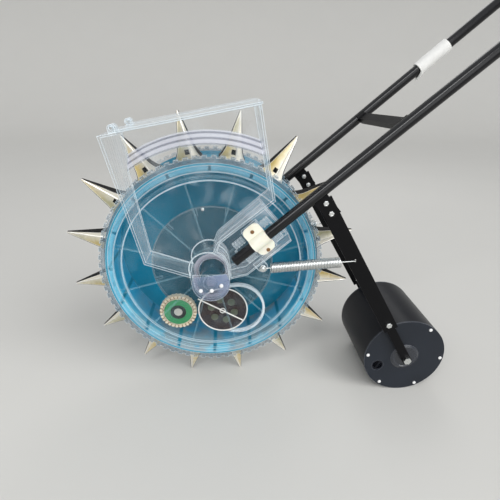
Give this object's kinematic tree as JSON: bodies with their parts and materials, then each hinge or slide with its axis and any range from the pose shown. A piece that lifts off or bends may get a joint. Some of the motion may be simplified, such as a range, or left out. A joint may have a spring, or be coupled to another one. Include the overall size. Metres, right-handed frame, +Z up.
{
  "type": "row seeder",
  "caption": "Hand-pushed row seeder with a duckbill drum, a clear side hopper with a hinged lid, a two-tube handle and a sprung press roller.",
  "frame": {"origin": "on the floor, at the centre of the whole machine's length and width", "axes": "+X to the rear, towards the operator; +Z up; the hopper is on the -Y side"},
  "size_m": [1.1008, 0.3108, 0.8821],
  "materials": {
    "clear_plastic": "clear moulded plastic",
    "teal_plastic": "moulded plastic",
    "smoked_plastic": "smoked clear plastic",
    "zinc_sheet": "pressed sheet, zinc plated",
    "black_steel": "gloss black paint",
    "black_edge": "black strip",
    "bright_steel": "zinc plated",
    "white_plastic": "moulded plastic",
    "black_foam": "foam grip",
    "black_plastic": "moulded plastic",
    "cream_plastic": "moulded plastic",
    "green_plastic": "moulded plastic"
  },
  "bodies": {
    "frame": {"drum_axle": "bright_steel", "hopper": "clear_plastic", "hub_near": "clear_plastic", "seed_sleeve": "clear_plastic", "lid_pins": "bright_steel", "hub_far": "clear_plastic", "channel_near": "clear_plastic", "channel_far": "clear_plastic", "saddle_clamp_near": "white_plastic", "saddle_clamp_far": "white_plastic", "clamp_screws": "bright_steel", "handle_tube_near": "black_steel", "handle_tube_far": "black_steel", "grip_near": "black_foam", "grip_far": "black_foam", "tube_sleeve": "white_plastic", "crossbar": "black_steel", "lug_near": "black_steel", "lug_far": "black_steel", "arm_near": "black_steel", "arm_far": "black_steel", "strap_near": "black_steel", "strap_far": "black_steel", "frame_bolts": "bright_steel", "spring_near": "bright_steel", "spring_far": "bright_steel", "roller_axle": "bright_steel"},
    "drum": {"drum_shell": "teal_plastic", "drum_cover": "clear_plastic", "drum_rim_near": "clear_plastic", "drum_rim_far": "clear_plastic", "metering_disc": "smoked_plastic", "seed_roller": "teal_plastic", "duckbill_feet": "zinc_sheet", "duckbill_fixed_halves": "zinc_sheet", "duckbill_flaps": "zinc_sheet", "duckbill_edges": "black_edge", "spare_wheel_rim": "cream_plastic", "spare_wheel_band": "green_plastic", "spare_wheel_hub": "black_plastic", "spare_wheel_pin": "bright_steel", "spare_disc": "black_plastic", "spare_hoop": "clear_plastic"},
    "roller": {"roller_barrel": "black_plastic", "roller_cap_near": "black_plastic", "roller_cap_far": "black_plastic", "filler_plug": "black_plastic"},
    "lid": {"hopper_lid": "clear_plastic"}
  },
  "joints": [
    {"name": "drum_spin", "type": "hinge", "parent": "frame", "child": "drum", "pos_m": [-0.25589, 0.02839, 0.29455], "axis": [0, 1, 0], "continuous": true},
    {"name": "roller_spin", "type": "hinge", "parent": "frame", "child": "roller", "pos_m": [0.15931, 0.02839, 0.0888], "axis": [0, 1, 0], "continuous": true},
    {"name": "lid_hinge", "type": "hinge", "parent": "frame", "child": "lid", "pos_m": [-0.39153, -0.07712, 0.5741], "axis": [0, -1, 0], "range_deg": [0, 110]}
  ]
}
